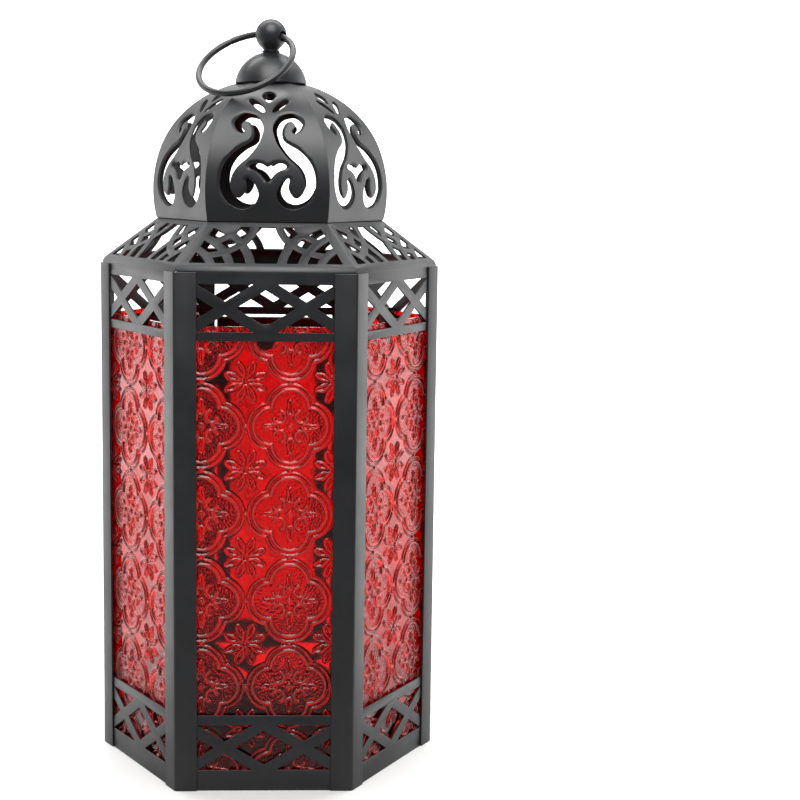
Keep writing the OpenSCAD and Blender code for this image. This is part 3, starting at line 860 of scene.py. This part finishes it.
def white_sweep():
    """A floor that curves up behind the lantern."""
    turn = np.linspace(0.08, math.pi / 2, 20)
    outline = [(FLOOR_FRONT, 0.0), (FLOOR_BACK, 0.0)]
    outline += [(FLOOR_BACK + CURVE_R * math.sin(t), CURVE_R - CURVE_R * math.cos(t)) for t in turn]
    outline += [(FLOOR_BACK + CURVE_R, WALL_TOP)]
    points = [(x, y, z) for y, z in outline for x in (-HALF_WIDTH, HALF_WIDTH)]
    faces = [[2 * i, 2 * i + 1, 2 * i + 3, 2 * i + 2] for i in range(len(outline) - 1)]
    sweep = new_piece("white_sweep", np.array(points) / MM, faces, sharp=60)
    material, tree, out = new_material("white_paper_sweep")
    where = add(tree, "ShaderNodeTexCoord").outputs["Object"]
    grain = add(tree, "ShaderNodeTexNoise", {"Vector": where, "Scale": 400.0, "Detail": 2.0})
    colour = add(
        tree, "ShaderNodeMix",
        {"Factor": grain.outputs["Fac"], 6: linear("#f2f2f1"), 7: linear("#f7f7f6")}, data_type="RGBA",
    )
    # White behind the lantern and dull in front of it, except to the lens
    place = add(tree, "ShaderNodeNewGeometry").outputs["Position"]
    depth = add(tree, "ShaderNodeSeparateXYZ", {"Vector": place}).outputs["Y"]
    white = add(
        tree, "ShaderNodeMapRange",
        {"Value": depth, "From Min": -0.15, "From Max": 0.1, "To Min": 0.25, "To Max": 1.0},
    )
    seen = add(tree, "ShaderNodeLightPath").outputs["Is Camera Ray"]
    share = add(tree, "ShaderNodeMix", {"Factor": seen, 2: white.outputs["Result"], 3: 1.0})
    paper = add(
        tree, "ShaderNodeMix",
        {"Factor": share.outputs[0], 6: linear("#000000"), 7: colour.outputs[2]}, data_type="RGBA",
    )
    # Away from the lantern the paper burns out to white, so no view shows a horizon
    away = add(tree, "ShaderNodeVectorMath", {0: place}, operation="LENGTH").outputs["Value"]
    burnt = add(tree, "ShaderNodeMapRange", {"Value": away, "From Min": 0.25, "From Max": 0.9})
    glow = add(
        tree, "ShaderNodeMath", {0: burnt.outputs["Result"], 1: seen}, operation="MULTIPLY",
    )
    shader = add(
        tree, "ShaderNodeBsdfPrincipled",
        {"Base Color": paper.outputs[2], "Roughness": 0.8, "Emission Color": linear("#ffffff"),
         "Emission Strength": glow.outputs[0]},
    )
    tree.links.new(shader.outputs["BSDF"], out.inputs["Surface"])
    sweep.data.materials.append(material)


def soft_box(name, at, size, power, aim=(0.0, 0.0, 0.18)):
    """A rectangular light of some watts that faces aim, the lantern's middle unless given."""
    lamp = bpy.data.lights.new(name, "AREA")
    lamp.shape, lamp.size, lamp.size_y, lamp.energy = "RECTANGLE", size[0], size[1], power
    holder = bpy.data.objects.new(name, lamp)
    holder.location = at
    holder.rotation_euler = (Vector(aim) - Vector(at)).to_track_quat("-Z", "Y").to_euler()
    holder.visible_camera = False
    bpy.context.scene.collection.objects.link(holder)


white_sweep()
soft_box("top_box", (0.0, -0.62, 1.06), (0.8, 0.8), 11)
soft_box("left_box", (-0.62, 0.36, 0.3), (0.5, 0.6), 1.3)
soft_box("right_box", (0.62, 0.36, 0.3), (0.5, 0.6), 1.35)
soft_box("sweep_box", (0.0, 0.5, 1.3), (2.0, 0.5), 29, aim=(0.0, 1.3, 0.3))
world = bpy.data.worlds.new("studio")
bpy.context.scene.world = world
world.use_nodes = True
sky = world.node_tree
direction = add(sky, "ShaderNodeTexCoord").outputs["Generated"]
parts = add(sky, "ShaderNodeSeparateXYZ", {"Vector": direction})
# The room is bright behind the lantern and dim in front of it, as a studio is
depth = add(
    sky, "ShaderNodeMapRange",
    {"Value": parts.outputs["Y"], "From Min": -0.7, "From Max": 0.5, "To Min": 0.12, "To Max": 0.85},
)
# What the lens sees directly is plain white all round
seen = add(sky, "ShaderNodeLightPath").outputs["Is Camera Ray"]
strength = add(sky, "ShaderNodeMix", {"Factor": seen, 2: depth.outputs["Result"], 3: 1.0})
background = sky.nodes["Background"]
background.inputs["Color"].default_value = linear("#ffffff")
sky.links.new(strength.outputs[0], background.inputs["Strength"])
bpy.context.scene.view_settings.view_transform = "Standard"
print("four soft boxes and a white sweep")

# %% [markdown]
# ## The camera
#
# The camera stands level with the dome and about 78 cm away, turned slightly to the right, so that
# the lantern is left of the frame's middle. It looks down by about 8 degrees, which gives the
# upright edges their gentle convergence. A 78 mm lens lets the lantern fill the frame from there.

# %% Placing the camera
AZIMUTH, DISTANCE, HEIGHT = math.radians(1.563), 782.2, 268.2
YAW, PITCH, ROLL, LENS = math.radians(-2.787), math.radians(7.785), math.radians(0.836), 77.89
forward = Vector((-math.sin(YAW) * math.cos(PITCH), math.cos(YAW) * math.cos(PITCH), -math.sin(PITCH)))
level = Vector((math.cos(YAW), math.sin(YAW), 0))
upright = level.cross(forward)
right = math.cos(ROLL) * level + math.sin(ROLL) * upright
up = -math.sin(ROLL) * level + math.cos(ROLL) * upright
camera_data = bpy.data.cameras.new("studio_camera")
camera_data.lens, camera_data.sensor_width = LENS, 36
camera_data.clip_start, camera_data.clip_end = 0.01, 20
camera = bpy.data.objects.new("studio_camera", camera_data)
place = Matrix.Identity(4)
for column, axis in enumerate((right, up, -forward)):
    place.col[column][:3] = axis
place.col[3][:3] = Vector((DISTANCE * math.sin(AZIMUTH), -DISTANCE * math.cos(AZIMUTH), HEIGHT)) * MM
camera.matrix_world = place
bpy.context.scene.collection.objects.link(camera)
bpy.context.scene.camera = camera
print("camera at", [round(v, 3) for v in camera.matrix_world.translation])
